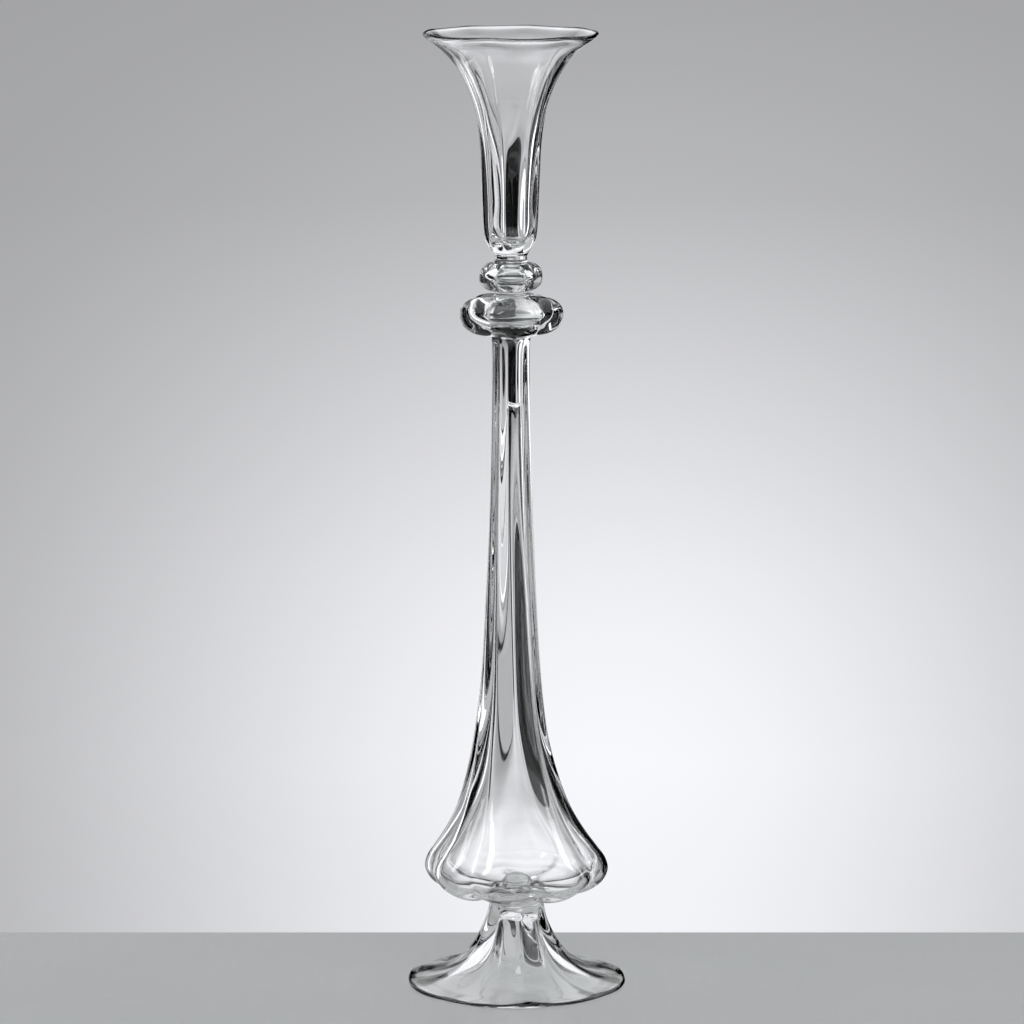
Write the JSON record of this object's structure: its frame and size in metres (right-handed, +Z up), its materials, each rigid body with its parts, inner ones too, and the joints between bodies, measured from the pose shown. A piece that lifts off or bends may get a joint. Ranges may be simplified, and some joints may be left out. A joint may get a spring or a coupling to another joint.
{
  "type": "flower vase",
  "caption": "Tall clear glass trumpet vase: fluted flared bowl on flattened knops over a long neck, bell-shaped body and flared foot.",
  "frame": {"origin": "centre of the ring the foot stands on, on the table", "axes": "+Z up along the vase's axis, from the foot to the mouth of the bowl; -Y is the side facing the camera"},
  "size_m": [0.138, 0.138, 0.601],
  "materials": {
    "foot_glass": "polished",
    "weld_glass": "polished",
    "body_glass": "polished",
    "knop_glass": "polished",
    "bowl_glass": "polished"
  },
  "bodies": {
    "root": {"foot": "foot_glass", "foot_merese": "weld_glass", "body": "body_glass", "large_knop": "knop_glass", "knop_merese": "weld_glass", "small_knop": "knop_glass", "bowl_merese": "weld_glass", "bowl": "bowl_glass"}
  },
  "joints": []
}
